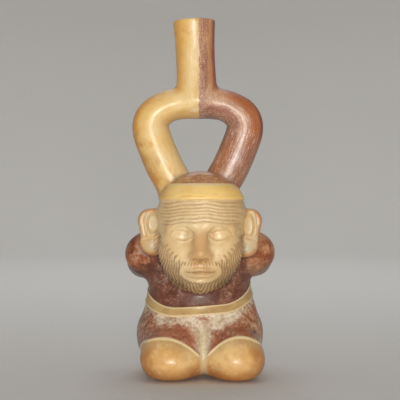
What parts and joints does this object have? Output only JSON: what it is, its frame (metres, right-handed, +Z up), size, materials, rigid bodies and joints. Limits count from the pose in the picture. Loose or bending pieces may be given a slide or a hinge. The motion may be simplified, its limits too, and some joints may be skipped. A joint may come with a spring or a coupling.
{
  "type": "stirrup spout vessel",
  "caption": "Hollow fired-clay bottle shaped as a kneeling figure with large ears, headband and belt, under a stirrup-shaped tube that carries one upright spout.",
  "frame": {"origin": "on the table under the middle of the vessel", "axes": "+Z up along the spout, the figure faces -Y, +X to its left hand"},
  "size_m": [0.1147, 0.1209, 0.2699],
  "materials": {
    "slipped_clay": "burnished cream and red slip, worn, with pale deposits in the creases"
  },
  "bodies": {
    "root": {"stirrup_spout_vessel": "slipped_clay"}
  },
  "joints": []
}
